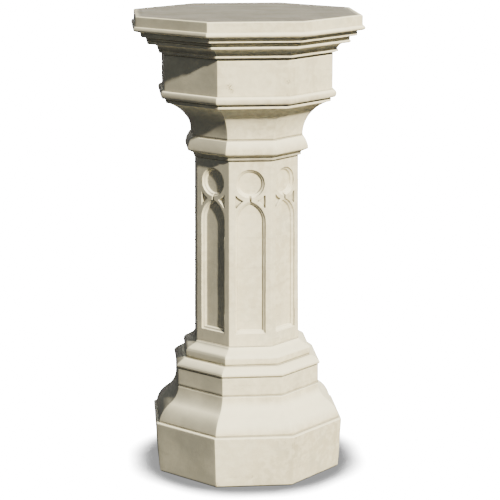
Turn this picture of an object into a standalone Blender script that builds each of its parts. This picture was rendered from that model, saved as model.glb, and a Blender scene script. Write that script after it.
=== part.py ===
"""Octagonal baptismal font of cast stone with a lift-off cover.

The font stands on z = 0 with its axis on Z and one flat side towards -Y. It is a
stack of stone courses, bedded in thin mortar and pinned with dowels, around a drain
pipe. Every stone outline is a list of (apothem, height) points, where the apothem is
the distance from the axis to a flat side; every turned outline is (radius, height).
"""

import math

import bmesh
import bpy
from mathutils import Matrix

# ---------------------------------------------------------------- driving sizes, metres
HEIGHT = 0.950
FACES = 8
GAP = 0.0003                 # clearance between touching pieces
BED_JOINT = 0.0020           # open height of a mortar joint
BED_SETBACK = 0.0008         # how far the mortar stops behind the stone face
BORE_RADIUS = 0.0225         # hole down the middle of the courses for the drain pipe

# heights of the bed joints, from the ground up
JOINT_PLINTH = 0.1090
JOINT_OGEE = 0.1810
JOINT_BAND = 0.2210
JOINT_ROLLS = 0.2405
JOINT_SHAFT_FOOT = 0.2750
JOINT_SHAFT_HEAD = 0.6615
JOINT_NECK = 0.7035
JOINT_CAPITAL = 0.7825
JOINT_BOWL = 0.8730

# apothems of the flat parts of the courses
PLINTH_FOOT = 0.1880
PLINTH_TOP = 0.1945
OGEE_FOOT = 0.1880
BAND = 0.1470
SHAFT_FOOT = 0.1065
SHAFT_HEAD = 0.1040
CAPITAL_FILLET = 0.1670
DRUM = 0.1700
COVER_FASCIA = 0.2262
COVER_ROLL = 0.2315
COVER_NECK = 0.2160

CORNICE_TOP = 0.9065
COVER_UNDERSIDE = 0.9085
COVER_FASCIA_FOOT = 0.9300
COVER_ROLL_FOOT = 0.9185

# blind panel sunk in each shaft face
PANEL_HALF_WIDTH = 0.0308
PANEL_DEPTH = 0.0084
SPLAY_WIDTH = 0.0088
ROUNDEL_CENTRE_Z = 0.6115
LANCET_SILL_Z = 0.3020
LANCET_SPRING_Z = 0.5350
LANCET_ARC_RADIUS = 0.0450
CUSP_SLOT_WIDTH = 0.0040
SPANDREL_DEPTH = 0.0050
TRACERY_BAR = 0.0065
CUTTER_LIP = 0.0030          # how far a cutter stands out of the stone

# basin and drain
BASIN_RADIUS = 0.1380
BASIN_FLAT_RADIUS = 0.0320
BASIN_FLOOR_Z = 0.8120
BASIN_BEND_Z = 0.8720
LINER_THICKNESS = 0.0015
LINER_FLANGE_RADIUS = 0.1515
LINER_FLANGE_Z = 0.9028
BEDDING = 0.0020             # space between liner and stone

OUTLET_FLANGE_RADIUS = 0.0300
OUTLET_FLANGE_THICKNESS = 0.0030
OUTLET_TAIL_RADIUS = 0.0160
OUTLET_BORE_RADIUS = 0.0135
OUTLET_TAIL_FOOT_Z = 0.7350
GASKET_THICKNESS = 0.0015
NUT_SPACE_RADIUS = 0.0320
NUT_SPACE_Z = 0.7480

PIPE_RADIUS = 0.0210
PIPE_BORE_RADIUS = 0.0190
PIPE_HEAD_Z = 0.7460
PIPE_FOOT_Z = 0.0020

# cover fittings
SEAL_WIDTH = 0.0120
SEAL_RADIUS = 0.1900
SPIGOT_RADIUS = 0.1340
SPIGOT_WIDTH = 0.0160
SPIGOT_HEIGHT = 0.0080
SCREW_COUNT = 4
SCREW_HEAD_RADIUS = 0.0042
SCREW_SHANK_RADIUS = 0.0022
SCREW_LENGTH = 0.0220

ROUND_STEPS = 24
WIDE_ROUND_STEPS = 32


# ---------------------------------------------------------------- scene and materials
def clear_scene():
    for obj in list(bpy.data.objects):
        bpy.data.objects.remove(obj, do_unlink=True)
    for collection in list(bpy.data.collections):
        bpy.data.collections.remove(collection)


def new_collection(name):
    collection = bpy.data.collections.new(name)
    bpy.context.scene.collection.children.link(collection)
    return collection


def principled(name, color, roughness, metallic=0.0):
    material = bpy.data.materials.new(name)
    material.use_nodes = True
    shader = material.node_tree.nodes["Principled BSDF"]
    shader.inputs["Base Color"].default_value = (*color, 1.0)
    shader.inputs["Roughness"].default_value = roughness
    shader.inputs["Metallic"].default_value = metallic
    material.diffuse_color = (*color, 1.0)
    return material


clear_scene()
PARTS = new_collection("baptismal_font")
CUTTERS = new_collection("cutters")

LOOKS = {
    "stone": ((0.66, 0.62, 0.53), 0.85, 0.0),
    "mortar": ((0.20, 0.17, 0.12), 0.95, 0.0),
    "stainless": ((0.55, 0.55, 0.54), 0.35, 1.0),
    "plated_brass": ((0.74, 0.72, 0.68), 0.18, 1.0),
    "brass": ((0.72, 0.52, 0.22), 0.30, 1.0),
    "rubber": ((0.03, 0.03, 0.03), 0.80, 0.0),
    "copper": ((0.72, 0.40, 0.26), 0.40, 1.0),
}


def material_for(piece, look):
    color, roughness, metallic = LOOKS[look]
    return principled(f"{piece}_{look}", color, roughness, metallic)


# ---------------------------------------------------------------- outlines
def arc(centre, radius, start, end, steps):
    """Points on a circle from one angle to another, in degrees."""
    points = []
    for i in range(steps + 1):
        angle = math.radians(start + (end - start) * i / steps)
        points.append((centre[0] + radius * math.cos(angle), centre[1] + radius * math.sin(angle)))
    return points


def bulge(top, foot, reach, steps=5):
    """A roll from its top point to its foot point, swelling out to the given apothem."""
    points = []
    for i in range(steps + 1):
        share = 0.5 - 0.5 * math.cos(math.pi * i / steps)
        chord = top[0] + (foot[0] - top[0]) * share
        swell = math.sin(math.pi * i / steps)
        points.append((chord + (reach - chord) * swell, top[1] + (foot[1] - top[1]) * share))
    return points


def bed_limits(joint):
    """Foot of the course above a joint, and head of the course below it."""
    return joint + BED_JOINT / 2, joint - BED_JOINT / 2


# ---------------------------------------------------------------- solids
def screw_profile(name, points, closed, collection, steps, octagonal):
    """Turn an outline round Z, in eight flats or as a round."""
    mesh = bpy.data.meshes.new(name)
    slope = math.tan(math.pi / FACES) if octagonal else 0.0
    vertices = [(x, x * slope, z) for x, z in points]
    edges = [(i, i + 1) for i in range(len(points) - 1)]
    if closed:
        edges.append((len(points) - 1, 0))
    mesh.from_pydata(vertices, edges, [])
    obj = bpy.data.objects.new(name, mesh)
    collection.objects.link(obj)
    screw = obj.modifiers.new("turn", "SCREW")
    screw.angle = math.tau
    screw.steps = steps
    screw.render_steps = steps
    screw.use_merge_vertices = True
    screw.merge_threshold = 0.00005
    screw.use_smooth_shade = not octagonal
    return obj


def octagon(name, outline, look="stone"):
    """A solid stone course: its outline runs down the outside and is closed to the axis."""
    points = [(0.0, outline[0][1]), *outline, (0.0, outline[-1][1])]
    obj = screw_profile(name, points, False, PARTS, FACES, True)
    obj.data.materials.append(material_for(name, look))
    return obj


def turned(name, outline, look, steps=ROUND_STEPS):
    """A round piece that reaches the axis at both ends of its outline."""
    obj = screw_profile(name, outline, False, PARTS, steps, False)
    obj.data.materials.append(material_for(name, look))
    return obj


def turned_ring(name, outline, look, steps=ROUND_STEPS):
    """A round piece with a hole: a closed outline, clockwise from its top inner corner."""
    obj = screw_profile(name, outline, True, PARTS, steps, False)
    obj.data.materials.append(material_for(name, look))
    return obj


def hide_cutter(obj):
    obj.hide_render = True
    obj.display_type = "WIRE"
    return obj


def cylinder_mesh(name, radius, foot, head, sides):
    mesh = bpy.data.meshes.new(name)
    bm = bmesh.new()
    bmesh.ops.create_cone(
        bm, cap_ends=True, segments=sides, radius1=radius, radius2=radius, depth=head - foot,
        matrix=Matrix.Translation((0, 0, (foot + head) / 2)),
    )
    bm.to_mesh(mesh)
    bm.free()
    return mesh


def cutter_cylinder(name, radius, foot, head, sides=ROUND_STEPS, location=(0, 0, 0)):
    obj = bpy.data.objects.new(name, cylinder_mesh(name, radius, foot, head, sides))
    obj.location = location
    CUTTERS.objects.link(obj)
    return hide_cutter(obj)


def subtract(target, cutter):
    modifier = target.modifiers.new(cutter.name, "BOOLEAN")
    modifier.operation = "DIFFERENCE"
    modifier.solver = "EXACT"
    modifier.object = cutter


def subtract_all(target, name, cutters):
    """Cut several solids that don't meet each other in one step."""
    group = bpy.data.collections.new(name)
    CUTTERS.children.link(group)
    for cutter in cutters:
        CUTTERS.objects.unlink(cutter)
        group.objects.link(cutter)
    modifier = target.modifiers.new(name, "BOOLEAN")
    modifier.operation = "DIFFERENCE"
    modifier.solver = "EXACT"
    modifier.operand_type = "COLLECTION"
    modifier.collection = group


# ---------------------------------------------------------------- stone outlines
def plinth_outline():
    head = bed_limits(JOINT_PLINTH)[1]
    foot_arris = 0.0030
    bevel_drop = 0.0015
    return [
        (OGEE_FOOT + 0.0005, head),
        (PLINTH_TOP - 0.0010, head - bevel_drop),
        (PLINTH_TOP, head - 2 * bevel_drop),
        (PLINTH_FOOT, foot_arris),
        (PLINTH_FOOT - foot_arris, 0.0),
    ]


def ogee_outline():
    foot = bed_limits(JOINT_PLINTH)[0]
    head = bed_limits(JOINT_OGEE)[1]
    hollow = arc((0.1900, 0.1810), 0.0430, 181.3, 234.5, 5)
    swell = arc((0.1286, 0.0966), 0.0614, 53.6, 14.5, 5)
    return [(BAND, head), *hollow[1:], *swell[1:], (OGEE_FOOT, foot)]


def band_outline():
    foot = bed_limits(JOINT_OGEE)[0]
    head = bed_limits(JOINT_BAND)[1]
    arris = 0.0008
    return [(BAND - arris, head), (BAND, head - arris), (BAND, foot)]


def lower_roll_outline():
    """A slope that swells a little and turns under at its foot."""
    foot = bed_limits(JOINT_BAND)[0]
    head = bed_limits(JOINT_ROLLS)[1]
    return [(0.1330, head), (0.1395, head - 0.0040), (0.1450, head - 0.0080), (0.1488, head - 0.0115),
            (0.1502, foot + 0.0030), (0.1490, foot)]


def upper_roll_outline():
    """The shaft's spreading foot: hollow, then round, then a near-upright edge."""
    foot = bed_limits(JOINT_ROLLS)[0]
    head = bed_limits(JOINT_SHAFT_FOOT)[1]
    return [(SHAFT_FOOT + 0.0010, head), (SHAFT_FOOT + 0.0020, head - 0.0020),
            (SHAFT_FOOT + 0.0070, head - 0.0062), (SHAFT_FOOT + 0.0165, head - 0.0116),
            (SHAFT_FOOT + 0.0215, head - 0.0152), (SHAFT_FOOT + 0.0235, head - 0.0190),
            (SHAFT_FOOT + 0.0237, head - 0.0240), (SHAFT_FOOT + 0.0222, foot)]


def shaft_outline():
    return [
        (SHAFT_HEAD, bed_limits(JOINT_SHAFT_HEAD)[1]),
        (SHAFT_FOOT, bed_limits(JOINT_SHAFT_FOOT)[0]),
    ]


def neck_outline():
    foot = bed_limits(JOINT_SHAFT_HEAD)[0]
    head = bed_limits(JOINT_NECK)[1]
    ovolo = arc((0.0753, 0.6725), 0.0489, 37.5, 8.0, 5)
    under = arc((0.1198, 0.6783), 0.0040, -10.0, -80.0, 2)
    return [(ovolo[0][0], head), *ovolo[1:], *under, (0.1112, 0.6700), (0.1098, 0.6688), (0.1098, foot)]


def capital_outline():
    foot = bed_limits(JOINT_NECK)[0]
    head = bed_limits(JOINT_CAPITAL)[1]
    fillet_foot = 0.7745
    hollow = arc((0.1880, 0.7030), 0.0755, 109.8, 178.8, 8)
    return [(CAPITAL_FILLET, head), (CAPITAL_FILLET, fillet_foot), *hollow[:-1], (hollow[-1][0], foot)]


def bowl_outline():
    foot = bed_limits(JOINT_CAPITAL)[0]
    head = bed_limits(JOINT_BOWL)[1]
    drum_foot = 0.7990
    return [(DRUM, head), (DRUM, drum_foot), *bulge((DRUM + 0.0012, drum_foot), (0.1730, foot), 0.1778, 6)]


def cornice_outline():
    foot = bed_limits(JOINT_BOWL)[0]
    fillet = 0.1800
    recess = 0.2020
    bead = bulge((0.1995, 0.9010), (0.1995, 0.8940), 0.2040, 4)
    hollow = arc((0.1955, 0.8750), 0.0190, 88.0, 162.0, 4)
    return [
        (recess, CORNICE_TOP),
        (recess, 0.9016),
        *bead,
        *hollow,
        (fillet, 0.8800),
        (fillet, 0.8760),
        (fillet - 0.0050, 0.8755),
        (fillet - 0.0050, foot),
    ]


def cover_outline():
    arris = 0.0015
    neck_foot = COVER_UNDERSIDE + 0.0010
    return [
        (COVER_FASCIA - arris, HEIGHT),
        (COVER_FASCIA, HEIGHT - arris),
        (COVER_FASCIA, COVER_FASCIA_FOOT),
        *bulge((COVER_FASCIA + 0.0008, COVER_FASCIA_FOOT - 0.0004), (COVER_NECK, COVER_ROLL_FOOT),
               COVER_ROLL, 6),
        (COVER_NECK, neck_foot),
        (COVER_NECK - 0.0010, COVER_UNDERSIDE),
    ]


# ---------------------------------------------------------------- basin outlines
def basin_curve(growth, steps=7):
    """The basin's wall and dish from the rim bend down to the flat, grown outwards."""
    points = []
    for i in range(steps + 1):
        angle = math.radians(90.0 * i / steps)
        across = BASIN_RADIUS - BASIN_FLAT_RADIUS + growth
        down = BASIN_BEND_Z - BASIN_FLOOR_Z + growth
        points.append((BASIN_FLAT_RADIUS + across * math.cos(angle), BASIN_BEND_Z - down * math.sin(angle)))
    return points


def liner_outline():
    flange_top = LINER_FLANGE_Z + LINER_THICKNESS
    hole = OUTLET_TAIL_RADIUS + GAP
    inner = basin_curve(0.0)
    outer = basin_curve(LINER_THICKNESS)
    inner_wall = [(hole, BASIN_FLOOR_Z), *reversed(inner), (BASIN_RADIUS, flange_top - LINER_THICKNESS / 2)]
    flange = [
        (BASIN_RADIUS + LINER_THICKNESS / 2, flange_top),
        (LINER_FLANGE_RADIUS, flange_top),
        (LINER_FLANGE_RADIUS, LINER_FLANGE_Z),
        (BASIN_RADIUS + LINER_THICKNESS, LINER_FLANGE_Z),
    ]
    return [*inner_wall, *flange, *outer, (hole, BASIN_FLOOR_Z - LINER_THICKNESS)]


def cavity_outline():
    """The hollow cast in the bowl and cornice for the liner, with the ledge for its flange."""
    ledge_radius = LINER_FLANGE_RADIUS + 0.0010
    ledge_z = LINER_FLANGE_Z - GAP
    growth = LINER_THICKNESS + BEDDING
    floor_z = BASIN_FLOOR_Z - LINER_THICKNESS - GAP
    dish = [(r, max(z, floor_z)) for r, z in basin_curve(growth)]
    return [
        (0.0, CORNICE_TOP + 0.0100),
        (ledge_radius, CORNICE_TOP + 0.0100),
        (ledge_radius, ledge_z),
        (BASIN_RADIUS + growth, ledge_z),
        *dish[:-1],
        (BASIN_FLAT_RADIUS, floor_z),
        (0.0, floor_z),
    ]


# ---------------------------------------------------------------- blind tracery
def roundel_outline(inset, steps=28):
    radius = PANEL_HALF_WIDTH - inset
    points = []
    for i in range(steps):
        angle = math.tau * i / steps
        points.append((radius * math.cos(angle), ROUNDEL_CENTRE_Z + radius * math.sin(angle)))
    return points


def lancet_outline(inset, arch_steps=6):
    """A pointed arch, anticlockwise from its lower left corner, moved in by the inset."""
    half = PANEL_HALF_WIDTH - inset
    radius = LANCET_ARC_RADIUS - inset
    centre_x = LANCET_ARC_RADIUS - PANEL_HALF_WIDTH
    apex_angle = math.degrees(math.acos(centre_x / radius))
    right = arc((-centre_x, LANCET_SPRING_Z), radius, 0.0, apex_angle, arch_steps)
    left = [(-x, z) for x, z in reversed(right[:-1])]
    sill = LANCET_SILL_Z + inset
    return [(-half, sill), (half, sill), *right, *left]


def spandrel_outline(side, steps=4):
    """The three-cornered sinking between the roundel, the lancet and the panel's edge."""
    roundel_radius = PANEL_HALF_WIDTH + TRACERY_BAR
    arch_radius = LANCET_ARC_RADIUS + TRACERY_BAR
    centre_x = LANCET_ARC_RADIUS - PANEL_HALF_WIDTH
    edge_x = PANEL_HALF_WIDTH - 0.0003
    upper_start = math.degrees(math.acos(edge_x / roundel_radius))
    cusp_z = (ROUNDEL_CENTRE_Z - roundel_radius * math.sin(math.radians(62.5)))
    cusp_x = roundel_radius * math.cos(math.radians(62.5))
    upper = arc((0.0, ROUNDEL_CENTRE_Z), roundel_radius, -upper_start, -62.5, steps)
    arch_top = math.degrees(math.atan2(cusp_z - LANCET_SPRING_Z, cusp_x + centre_x))
    arch_foot = math.degrees(math.acos((edge_x + centre_x) / arch_radius))
    lower = arc((-centre_x, LANCET_SPRING_Z), arch_radius, arch_top, arch_foot, steps)
    points = [*upper, *lower[1:]]
    if side < 0:
        points = [(-x, z) for x, z in reversed(points)]
    return points


def sunk_cutter(name, outline_at, levels, face_angle):
    """A cutter for one shaft face, lofted through (inset, depth) levels behind the face."""
    bm = bmesh.new()
    rings = []
    for inset, depth in levels:
        rings.append([bm.verts.new((x, face_y(z) + depth, z)) for x, z in outline_at(inset)])
    count = len(rings[0])
    for near, far in zip(rings, rings[1:]):
        for i in range(count):
            j = (i + 1) % count
            bm.faces.new((near[i], near[j], far[j], far[i]))
    bm.faces.new(rings[0])
    bm.faces.new(rings[-1])
    bmesh.ops.recalc_face_normals(bm, faces=bm.faces)
    mesh = bpy.data.meshes.new(name)
    bm.to_mesh(mesh)
    bm.free()
    obj = bpy.data.objects.new(name, mesh)
    obj.rotation_euler.z = face_angle
    CUTTERS.objects.link(obj)
    return hide_cutter(obj)


def face_y(z):
    """Where the shaft's -Y face stands at a height: the shaft narrows a little upwards."""
    foot = bed_limits(JOINT_SHAFT_FOOT)[0]
    head = bed_limits(JOINT_SHAFT_HEAD)[1]
    share = (z - foot) / (head - foot)
    return -(SHAFT_FOOT + (SHAFT_HEAD - SHAFT_FOOT) * share)


def slot_outline(_inset):
    half = CUSP_SLOT_WIDTH / 2
    crossing = ROUNDEL_CENTRE_Z - PANEL_HALF_WIDTH
    reach = SPLAY_WIDTH * 0.95
    return [(-half, crossing - reach), (half, crossing - reach), (half, crossing + reach),
            (-half, crossing + reach)]


def cut_panels(shaft):
    bend = (SPLAY_WIDTH * 0.55, PANEL_DEPTH * 0.72)
    lip_inset = -CUTTER_LIP * bend[0] / bend[1]
    splay = [(lip_inset, -CUTTER_LIP), bend, (SPLAY_WIDTH, PANEL_DEPTH)]
    kinds = {
        "roundel": (roundel_outline, splay),
        "lancet": (lancet_outline, splay),
        "cusp_slot": (slot_outline, [(0.0, -CUTTER_LIP), (0.0, PANEL_DEPTH * 0.75)]),
        "spandrel_left": (lambda inset: spandrel_outline(-1), [(0.0, -CUTTER_LIP), (0.0, SPANDREL_DEPTH)]),
        "spandrel_right": (lambda inset: spandrel_outline(1), [(0.0, -CUTTER_LIP), (0.0, SPANDREL_DEPTH)]),
    }
    for kind, (outline_at, levels) in kinds.items():
        cutters = []
        for face in range(FACES):
            angle = math.tau * face / FACES
            cutters.append(sunk_cutter(f"{kind}_{face + 1}", outline_at, levels, angle))
        subtract_all(shaft, f"{kind}s", cutters)


# ---------------------------------------------------------------- dowels
DOWELS = {
    # name: (joints crossed, distance from the axis, direction in degrees, foot, head, radius)
    "plinth": (("plinth", "base_ogee", "bed_plinth"), 0.0900, 0.0, 0.0700, 0.1500, 0.0050),
    "base": (("base_ogee", "base_band", "base_roll_lower", "base_roll_upper", "bed_ogee", "bed_band",
              "bed_rolls"), 0.0850, 90.0, 0.1500, 0.2560, 0.0050),
    "shaft_foot": (("base_roll_lower", "base_roll_upper", "shaft", "bed_rolls", "bed_shaft_foot"),
                   0.0600, 0.0, 0.2290, 0.3300, 0.0050),
    "shaft_head": (("shaft", "neck_ring", "capital", "bed_shaft_head", "bed_neck"),
                   0.0600, 0.0, 0.6100, 0.7450, 0.0050),
    "capital": (("capital", "bowl", "bed_capital"), 0.0750, 90.0, 0.7500, 0.8020, 0.0050),
    "rim": (("bowl", "cornice", "bed_bowl"), 0.1575, 0.0, 0.8480, 0.8930, 0.0040),
}
DOWEL_SIDES = 12


def add_dowels(pieces):
    for name, (crossed, reach, direction, foot, head, radius) in DOWELS.items():
        for number, turn in enumerate((0.0, 180.0), start=1):
            angle = math.radians(direction + turn)
            place = (reach * math.cos(angle), reach * math.sin(angle), 0.0)
            label = f"dowel_{name}_{number}"
            pin = bpy.data.objects.new(label, cylinder_mesh(label, radius, foot, head, DOWEL_SIDES))
            pin.location = place
            pin.data.materials.append(material_for(label, "stainless"))
            PARTS.objects.link(pin)
            hole = cutter_cylinder(f"{label}_hole", radius + GAP, foot - GAP, head + GAP, DOWEL_SIDES, place)
            for piece in crossed:
                subtract(pieces[piece], hole)


# ---------------------------------------------------------------- assembly
def build_stone():
    """All the stone courses, bored for the drain pipe, and the mortar between them."""
    outlines = {
        "plinth": plinth_outline(),
        "base_ogee": ogee_outline(),
        "base_band": band_outline(),
        "base_roll_lower": lower_roll_outline(),
        "base_roll_upper": upper_roll_outline(),
        "shaft": shaft_outline(),
        "neck_ring": neck_outline(),
        "capital": capital_outline(),
        "bowl": bowl_outline(),
        "cornice": cornice_outline(),
    }
    pieces = {name: octagon(name, outline) for name, outline in outlines.items()}
    joints = {
        "bed_plinth": JOINT_PLINTH,
        "bed_ogee": JOINT_OGEE,
        "bed_band": JOINT_BAND,
        "bed_rolls": JOINT_ROLLS,
        "bed_shaft_foot": JOINT_SHAFT_FOOT,
        "bed_shaft_head": JOINT_SHAFT_HEAD,
        "bed_neck": JOINT_NECK,
        "bed_capital": JOINT_CAPITAL,
        "bed_bowl": JOINT_BOWL,
    }
    courses = list(outlines.values())
    for (name, joint), below, above in zip(joints.items(), courses, courses[1:]):
        reach = min(below[0][0], above[-1][0]) - BED_SETBACK
        half = BED_JOINT / 2 - GAP
        pieces[name] = octagon(name, [(reach, joint + half), (reach, joint - half)], "mortar")
    bore = cutter_cylinder("pipe_bore", BORE_RADIUS, -0.0100, 0.8000)
    basin = hide_cutter(screw_profile("basin_cavity", cavity_outline(), False, CUTTERS, WIDE_ROUND_STEPS,
                                       False))
    nut_space = cutter_cylinder("nut_space", NUT_SPACE_RADIUS, NUT_SPACE_Z, JOINT_CAPITAL)
    tail_hole = cutter_cylinder("tail_hole", OUTLET_TAIL_RADIUS + 0.0010, 0.7700, 0.8300)
    for name, piece in pieces.items():
        if name not in ("bowl", "cornice", "bed_bowl"):
            subtract(piece, bore)
    for name in ("bowl", "cornice", "bed_bowl"):
        subtract(pieces[name], basin)
    subtract(pieces["bowl"], tail_hole)
    subtract(pieces["capital"], nut_space)
    bed_hole = cutter_cylinder("bed_nut_space", NUT_SPACE_RADIUS + 0.0010, 0.7800, 0.7850)
    subtract(pieces["bed_capital"], bed_hole)
    cut_panels(pieces["shaft"])
    return pieces


def build_drain():
    """The metal basin and its waste, from the rim down to the pipe's foot."""
    turned_ring("basin_liner", liner_outline(), "stainless", WIDE_ROUND_STEPS)
    gasket_foot = BASIN_FLOOR_Z + GAP
    gasket_head = gasket_foot + GASKET_THICKNESS
    tail_clear = OUTLET_TAIL_RADIUS + GAP
    gasket_edge = OUTLET_FLANGE_RADIUS - 0.0010
    turned_ring("waste_gasket", [(tail_clear, gasket_head), (gasket_edge, gasket_head),
                                 (gasket_edge, gasket_foot), (tail_clear, gasket_foot)], "rubber")
    flange_foot = gasket_head + GAP
    flange_head = flange_foot + OUTLET_FLANGE_THICKNESS
    rounding = 0.0008
    turned_ring("waste_outlet", [
        (OUTLET_BORE_RADIUS + rounding, flange_head),
        (OUTLET_FLANGE_RADIUS - 2 * rounding, flange_head),
        (OUTLET_FLANGE_RADIUS, flange_foot + rounding),
        (OUTLET_FLANGE_RADIUS, flange_foot),
        (OUTLET_TAIL_RADIUS, flange_foot),
        (OUTLET_TAIL_RADIUS, OUTLET_TAIL_FOOT_Z),
        (OUTLET_BORE_RADIUS, OUTLET_TAIL_FOOT_Z),
        (OUTLET_BORE_RADIUS, flange_head - rounding),
    ], "plated_brass")

    washer_head = bed_limits(JOINT_CAPITAL)[0] - GAP
    washer_foot = washer_head - 0.0030
    turned_ring("waste_washer", [(tail_clear, washer_head), (0.0275, washer_head),
                                 (0.0275, washer_foot), (tail_clear, washer_foot)], "rubber")
    nut_head = washer_foot - GAP
    nut_foot = nut_head - 0.0080
    turned_ring("waste_backnut", [(tail_clear, nut_head), (0.0270, nut_head),
                                  (0.0270, nut_foot), (tail_clear, nut_foot)], "brass", 6)
    bpy.data.objects["waste_backnut"].modifiers["turn"].use_smooth_shade = False
    round_nut_bore(tail_clear, nut_foot, nut_head)

    turned_ring("drain_pipe", [(PIPE_BORE_RADIUS, PIPE_HEAD_Z), (PIPE_RADIUS, PIPE_HEAD_Z),
                               (PIPE_RADIUS, PIPE_FOOT_Z), (PIPE_BORE_RADIUS, PIPE_FOOT_Z)], "copper")
    ring_head = PIPE_HEAD_Z - 0.0020
    ring_foot = ring_head - 0.0060
    turned_ring("pipe_joint_ring", [(tail_clear, ring_head), (PIPE_BORE_RADIUS - GAP, ring_head),
                                    (PIPE_BORE_RADIUS - GAP, ring_foot), (tail_clear, ring_foot)], "rubber")
    return flange_head


def round_nut_bore(radius, foot, head):
    """The backnut is a hexagon outside, so its bore is cut as a round."""
    nut = bpy.data.objects["waste_backnut"]
    bore = cutter_cylinder("backnut_bore", radius + 0.0020, foot - 0.0100, head + 0.0100)
    subtract(nut, bore)


def build_plug(seat_z):
    """The lift-out plug: a turned body, its rubber ring and the knob screwed on top."""
    ring_radius = OUTLET_BORE_RADIUS - GAP
    core = 0.0085
    disc_foot = seat_z + GAP
    disc_head = disc_foot + 0.0025
    groove_foot = disc_foot - 0.0075
    plug_foot = groove_foot - 0.0040
    plug = turned("drain_plug", [
        (0.0, disc_head),
        (0.0165, disc_head),
        (0.0175, disc_head - 0.0010),
        (0.0175, disc_foot),
        (core, disc_foot),
        (core, groove_foot),
        (0.0115, groove_foot),
        (0.0105, plug_foot),
        (0.0, plug_foot),
    ], "plated_brass")
    ring_head = disc_foot - GAP
    ring_foot = groove_foot + GAP
    seal = turned_ring("plug_seal", [
        (core + GAP, ring_head),
        (ring_radius - 0.0006, ring_head),
        (ring_radius, (ring_head + ring_foot) / 2),
        (ring_radius - 0.0006, ring_foot), (core + GAP, ring_foot),
    ], "rubber")
    knob_foot = disc_head + GAP
    knob_outline = [(0.0, knob_foot + 0.0220)]
    knob_outline += arc((0.0, knob_foot + 0.0145), 0.0075, 72.0, -45.0, 6)
    knob_outline += [(0.0032, knob_foot + 0.0060), (0.0032, knob_foot + 0.0025), (0.0060, knob_foot),
                     (0.0, knob_foot)]
    knob = turned("plug_knob", knob_outline, "brass", 20)
    hang_on_empty("plug_lift_axis", seat_z, [plug, seal, knob])


def build_cover():
    """The lift-off cover: slab, rubber ring, centring ring and the ring's screws."""
    slab = octagon("cover_slab", cover_outline())
    seal_head = COVER_UNDERSIDE - GAP
    seal_foot = CORNICE_TOP + GAP
    seal = octagon("cover_seal", [(SEAL_RADIUS, seal_head), (SEAL_RADIUS, seal_foot)], "rubber")
    inner = [(0.0, seal_head + 0.0050), (SEAL_RADIUS - SEAL_WIDTH, seal_head + 0.0050),
             (SEAL_RADIUS - SEAL_WIDTH, seal_foot - 0.0050), (0.0, seal_foot - 0.0050)]
    subtract(seal, hide_cutter(screw_profile("seal_opening", inner, False, CUTTERS, FACES, True)))
    spigot_foot = seal_head - SPIGOT_HEIGHT
    spigot_inner = SPIGOT_RADIUS - SPIGOT_WIDTH
    chamfer = 0.0015
    spigot = turned_ring("cover_spigot", [
        (spigot_inner, seal_head), (SPIGOT_RADIUS, seal_head), (SPIGOT_RADIUS, spigot_foot + chamfer),
        (SPIGOT_RADIUS - chamfer, spigot_foot), (spigot_inner, spigot_foot),
    ], "brass", WIDE_ROUND_STEPS)
    screws = [add_screw(number, spigot, slab, spigot_foot) for number in range(1, SCREW_COUNT + 1)]
    hang_on_empty("cover_lift_axis", COVER_UNDERSIDE, [slab, seal, spigot, *screws])


def add_screw(number, spigot, slab, foot):
    """One countersunk screw, head down, through the centring ring into the slab."""
    angle = math.tau * (number - 0.5) / SCREW_COUNT
    reach = SPIGOT_RADIUS - SPIGOT_WIDTH / 2
    place = (reach * math.cos(angle), reach * math.sin(angle), foot)
    label = f"spigot_screw_{number}"
    head_depth = SCREW_HEAD_RADIUS - SCREW_SHANK_RADIUS
    outline = [(0.0, SCREW_LENGTH), (SCREW_SHANK_RADIUS, SCREW_LENGTH), (SCREW_SHANK_RADIUS, head_depth + GAP),
               (SCREW_HEAD_RADIUS, GAP), (0.0, GAP)]
    screw = turned(label, outline, "stainless", 12)
    screw.location = place
    hole_outline = [(0.0, SCREW_LENGTH + GAP), (SCREW_SHANK_RADIUS + GAP, SCREW_LENGTH + GAP),
                    (SCREW_SHANK_RADIUS + GAP, head_depth + GAP), (SCREW_HEAD_RADIUS + 2 * GAP, 0.0),
                    (SCREW_HEAD_RADIUS + 2 * GAP, -0.0050), (0.0, -0.0050)]
    hole = hide_cutter(screw_profile(f"{label}_hole", hole_outline, False, CUTTERS, 12, False))
    hole.location = place
    subtract(spigot, hole)
    subtract(slab, hole)
    return screw


def hang_on_empty(name, height, pieces):
    """Parent moving pieces to an empty on the axis that they slide along."""
    empty = bpy.data.objects.new(name, None)
    empty.location = (0.0, 0.0, height)
    PARTS.objects.link(empty)
    for piece in pieces:
        piece.parent = empty
        piece.matrix_parent_inverse = Matrix.Translation((0.0, 0.0, -height))


def main():
    pieces = build_stone()
    add_dowels(pieces)
    seat_z = build_drain()
    build_plug(seat_z)
    build_cover()


main()
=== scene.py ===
"""The looks of the cast stone baptismal font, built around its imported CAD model."""

import math

import bmesh
import bpy
import numpy as np
from mathutils import Matrix, Vector, noise


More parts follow.
